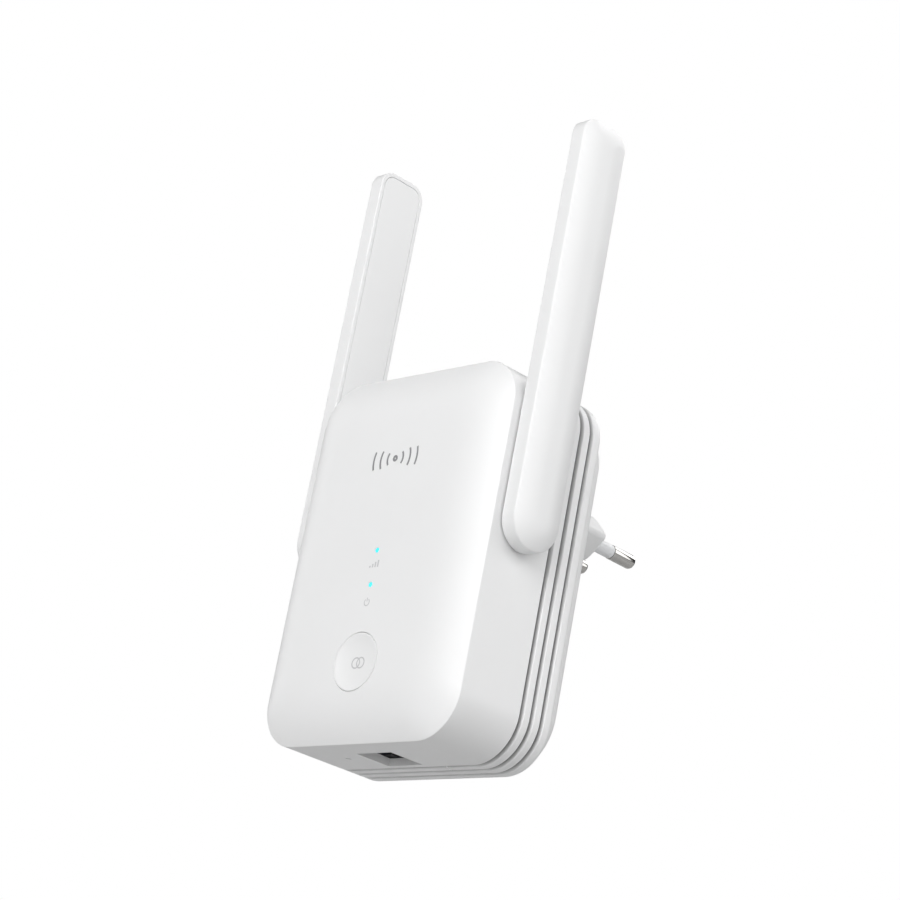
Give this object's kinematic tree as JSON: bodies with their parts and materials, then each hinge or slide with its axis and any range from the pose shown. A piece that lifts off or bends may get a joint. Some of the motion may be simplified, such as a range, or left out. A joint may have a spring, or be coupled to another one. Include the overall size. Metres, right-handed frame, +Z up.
{
  "type": "wifi range extender",
  "caption": "Plug-in Wi-Fi range extender with two swivelling paddle antennas, Ethernet socket, pairing button and round-pin wall plug.",
  "frame": {"origin": "on the plug's end face, midway between the two pins", "axes": "+Y out of the plug along the pins, towards the wall socket; +Z up, along the antennas; +X to the right as seen from the front"},
  "size_m": [0.0846, 0.0826, 0.1678],
  "materials": {
    "white_plastic": "fine satin moulded ABS, white",
    "antenna_plastic": "fine satin moulded ABS, white",
    "sleeve_plastic": "smooth moulded insulating sleeve, white",
    "pin_metal": "bright nickel-plated brass",
    "contact_metal": "gold-plated spring metal",
    "shield_metal": "tinned sheet steel",
    "screw_metal": "zinc-plated steel",
    "spreader_metal": "bare sheet aluminium",
    "board_green": "glass-fibre board with green solder mask",
    "black_plastic": "black moulded nylon",
    "grey_plastic": "grey moulded nylon",
    "ferrite": "sintered ferrite",
    "winding_tape": "yellow polyester winding tape",
    "capacitor_sleeve": "dark shrink sleeve",
    "fuse_body": "ceramic-filled fuse body",
    "copper_wire": "enamelled copper wire",
    "thermal_silicone": "soft silicone gap pad",
    "light_pipe": "clear acrylic lit cyan from behind",
    "led_lens": "clear epoxy over yellow phosphor",
    "coax_jacket": "black fluoropolymer jacket",
    "washer_nylon": "natural nylon"
  },
  "bodies": {
    "housing": {"front_cover": "white_plastic", "rear_cover": "white_plastic", "plug_body": "white_plastic", "pin_sleeve_left": "sleeve_plastic", "pin_sleeve_right": "sleeve_plastic", "pin_left": "pin_metal", "pin_right": "pin_metal", "ethernet_contacts": "contact_metal", "pin_contact_left": "contact_metal", "pin_contact_right": "contact_metal", "feed_plug_left": "contact_metal", "feed_plug_right": "contact_metal", "shield_can": "shield_metal", "board_screw_1": "screw_metal", "board_screw_2": "screw_metal", "board_screw_3": "screw_metal", "board_screw_4": "screw_metal", "heat_spreader": "spreader_metal", "main_board": "board_green", "power_board": "board_green", "ethernet_jack": "black_plastic", "link_header": "black_plastic", "pairing_switch": "black_plastic", "reset_switch": "black_plastic", "bridge_rectifier": "black_plastic", "transformer_core": "ferrite", "transformer_coil": "winding_tape", "main_capacitor": "capacitor_sleeve", "output_capacitor": "capacitor_sleeve", "fuse": "fuse_body", "choke_ring": "copper_wire", "thermal_pad": "thermal_silicone", "light_pipe_signal": "light_pipe", "light_pipe_system": "light_pipe", "led_signal": "led_lens", "led_system": "led_lens", "feed_cable_left": "coax_jacket", "feed_cable_right": "coax_jacket", "hinge_washer_left": "washer_nylon", "hinge_washer_right": "washer_nylon"},
    "antenna_left": {"antenna_shell_left": "antenna_plastic", "antenna_panel_left": "antenna_plastic", "antenna_hinge_left": "white_plastic", "hinge_clip_left": "screw_metal", "antenna_radiator_left": "board_green", "antenna_lead_left": "coax_jacket"},
    "antenna_right": {"antenna_shell_right": "antenna_plastic", "antenna_panel_right": "antenna_plastic", "antenna_hinge_right": "white_plastic", "hinge_clip_right": "screw_metal", "antenna_radiator_right": "board_green", "antenna_lead_right": "coax_jacket"},
    "button": {"pairing_button": "white_plastic"},
    "switch_plunger": {"pairing_plunger": "grey_plastic"},
    "reset_key": {"reset_plunger": "grey_plastic"}
  },
  "joints": [
    {"name": "left_antenna_swing", "type": "hinge", "parent": "housing", "child": "antenna_left", "pos_m": [-0.03615, -0.0491, -0.01505], "axis": [1, 0, 0], "range_deg": [0, 180]},
    {"name": "right_antenna_swing", "type": "hinge", "parent": "housing", "child": "antenna_right", "pos_m": [0.03615, -0.0491, -0.01505], "axis": [1, 0, 0], "range_deg": [0, 180]},
    {"name": "pairing_button_press", "type": "slide", "parent": "housing", "child": "button", "axis": [0, 1, 0], "range_m": [0, 0.0005], "stiffness_N_per_m": 1500, "springref_m": -0.0005},
    {"name": "pairing_plunger_press", "type": "slide", "parent": "housing", "child": "switch_plunger", "axis": [0, 1, 0], "range_m": [0, 0.0005]},
    {"name": "reset_plunger_press", "type": "slide", "parent": "housing", "child": "reset_key", "axis": [0, 0, 1], "range_m": [0, 0.0003], "stiffness_N_per_m": 1500, "springref_m": -0.0003}
  ],
  "couplings": [
    {"joint": "pairing_plunger_press", "follows": "pairing_button_press", "ratio": 1}
  ]
}
